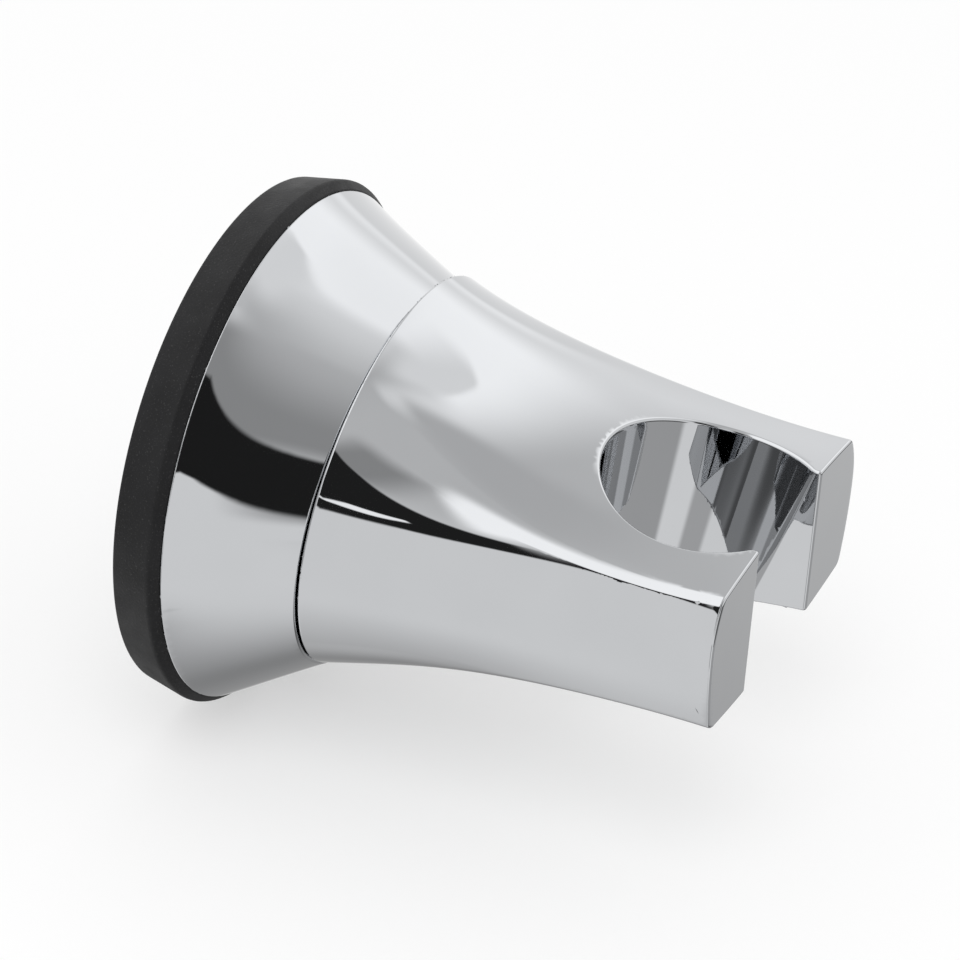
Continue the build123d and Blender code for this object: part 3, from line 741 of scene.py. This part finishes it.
# %% [markdown]
# The copy is cut finer in rounds. Each round splits the edges on the outside that are too long, or that bend
# more than a few degrees, and those along the arm's ridge get the strictest measure, because it mirrors a
# thin dark line. Round the joint and the rim, where the edge is rounded over a fraction of a millimetre,
# rings of new edges are cut in first, so that the roundings come out even.

# %% Edges that are too coarse
skin_reach = 0.45
finest, finest_bend = 0.2, radians(9)
ridge_finest, ridge_bend = 0.12, radians(3.5)
ridge_low, ridge_high, ridge_turn = 0.25, 0.85, 0.3


def outward(rule, points):
    """Slope of a rule at points, and the direction in which its surface faces."""
    step = 0.01
    axes = np.eye(3) * step
    slope = np.stack([(rule(points + axis) - rule(points - axis)) / (2 * step) for axis in axes], axis=1)
    length = np.linalg.norm(slope, axis=1, keepdims=True)
    return length[:, 0], -slope / np.maximum(length, 1e-9)


def coarse_edges(mesh_edit, rule, longest):
    """Edges on the outside that are too long or bend too fast."""
    mesh_edit.verts.index_update()
    points = np.array([vertex.co for vertex in mesh_edit.verts]) / millimetre
    facing = outward(rule, points)[1]
    ends = np.array([(edge.verts[0].index, edge.verts[1].index) for edge in mesh_edit.edges])
    on_skin = np.abs(rule(points)) < skin_reach
    on_ridge = (facing[:, 2] > ridge_low) & (facing[:, 2] < ridge_high) & (np.abs(facing[:, 1]) < ridge_turn)
    length = np.linalg.norm(points[ends[:, 0]] - points[ends[:, 1]], axis=1)
    bend_cosine = (facing[ends[:, 0]] * facing[ends[:, 1]]).sum(1)
    bent = (length > finest) & (bend_cosine < cos(finest_bend))
    bent |= on_ridge[ends].all(1) & (length > ridge_finest) & (bend_cosine < cos(ridge_bend))
    chosen = on_skin[ends].all(1) & ((length > longest) | bent)
    return [edge for edge, wanted in zip(mesh_edit.edges, chosen) if wanted]


# %% Finer copy of a node
merge_reach, plane_reach, cutting_rounds = 2e-6, 1e-7, 9


def triangulate(mesh_edit):
    """Cut every face of more than three corners into triangles."""
    bmesh.ops.triangulate(mesh_edit, faces=[face for face in mesh_edit.faces if len(face.verts) > 3])


def cut_finer(node, piece_name, rule, longest, lips):
    """Copy of a node with short outside edges. A lip is a point, a normal and steps for rings of edges."""
    mesh_edit = bmesh.new()
    mesh_edit.from_mesh(nodes[node].data)
    bmesh.ops.remove_doubles(mesh_edit, verts=mesh_edit.verts, dist=merge_reach)
    for point, normal, steps in lips:
        for offset in steps:
            geometry = mesh_edit.verts[:] + mesh_edit.edges[:] + mesh_edit.faces[:]
            bmesh.ops.bisect_plane(mesh_edit, geom=geometry, dist=plane_reach, plane_no=Vector(normal),
                                   plane_co=Vector((point + normal * offset) * millimetre))
    triangulate(mesh_edit)
    for _ in range(cutting_rounds):
        long_edges = coarse_edges(mesh_edit, rule, longest)
        if not long_edges:
            break
        bmesh.ops.subdivide_edges(mesh_edit, edges=long_edges, cuts=1)
        triangulate(mesh_edit)
    mesh = bpy.data.meshes.new(piece_name)
    mesh_edit.to_mesh(mesh)
    mesh_edit.free()
    return mesh


# %% [markdown]
# Then the outside points settle on the rule. A point belongs to the outside when it lies near the rule's
# zero and the mesh faces the same way there, so that thin walls keep their inner side. A face that lies
# outside altogether takes the exact normals of the rule, and all others keep the normals that the mesh
# gives. The points that settled are marked as plated for the chrome.

# %% Settle a mesh on its rule
same_side, gentlest_slope, sharp_angle, settling_rounds = 0.3, 0.3, radians(35), 4


def read_values(items, key, width, kind=float):
    """Values of all items of a mesh as an array with one row for each item."""
    values = np.zeros(len(items) * width, dtype=kind)
    items.foreach_get(key, values)
    return values.reshape(-1, width)


def settle(mesh, rule):
    """Push the outside of a mesh onto its rule and give it the rule's normals."""
    points = read_values(mesh.vertices, "co", 3) / millimetre
    vertex_normals = read_values(mesh.vertex_normals, "vector", 3, np.float32)
    agreement = (vertex_normals * outward(rule, points)[1]).sum(1)
    outside = (np.abs(rule(points)) < skin_reach) & (agreement > same_side)
    moved = points.copy()
    for _ in range(settling_rounds):
        slope, facing = outward(rule, moved[outside])
        moved[outside] += facing * (rule(moved[outside]) / np.maximum(slope, gentlest_slope))[:, None]
    shift = np.linalg.norm(moved - points, axis=1)
    mesh.vertices.foreach_set("co", (moved * millimetre).ravel())
    mesh.update()
    mesh.set_sharp_from_angle(angle=sharp_angle)
    normals = read_values(mesh.corner_normals, "vector", 3, np.float32)
    corner_vertex = read_values(mesh.loops, "vertex_index", 1, int)[:, 0]
    exact = np.repeat(outside[corner_vertex].reshape(-1, 3).all(1), 3)
    normals[exact] = outward(rule, moved)[1][corner_vertex[exact]]
    mesh.normals_split_custom_set(normals.tolist())
    plated = mesh.attributes.new("plated", "FLOAT", "POINT")
    plated.data.foreach_set("value", outside.astype(np.float32))
    print(mesh.name, len(mesh.polygons), "triangles, moved at most", round(float(shift.max()), 3), "mm")


# %% Trued up cover and arm
wall_axis = np.array((0.0, -1.0, 0.0))
rim_lip = (wall_axis * ring_depth, wall_axis, (0.03, 0.09, 0.2))
front_lip = (swivel_centre, swivel_direction, (-0.02, -0.06, -0.11, -0.18))
neck_lip = (swivel_centre + swivel_direction * swivel_gap, swivel_direction, (0.04, 0.12, 0.3))
cover_mesh = cut_finer("base_cover", "cover_bell", cover_depth, 0.9, (rim_lip, front_lip))
settle(cover_mesh, cover_depth)
cover_bell = add_object("cover_bell", cover_mesh)
arm_mesh = cut_finer("holder_arm", "forked_arm", arm_depth, 0.95, (neck_lip,))
settle(arm_mesh, arm_depth)
forked_arm = add_object("forked_arm", arm_mesh)
for piece, node, body in ((cover_bell, "base_cover", "base"), (forked_arm, "holder_arm", "arm")):
    piece.data.materials.clear()
    piece.data.materials.append(chrome)
    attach(piece, body)
    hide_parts(node)
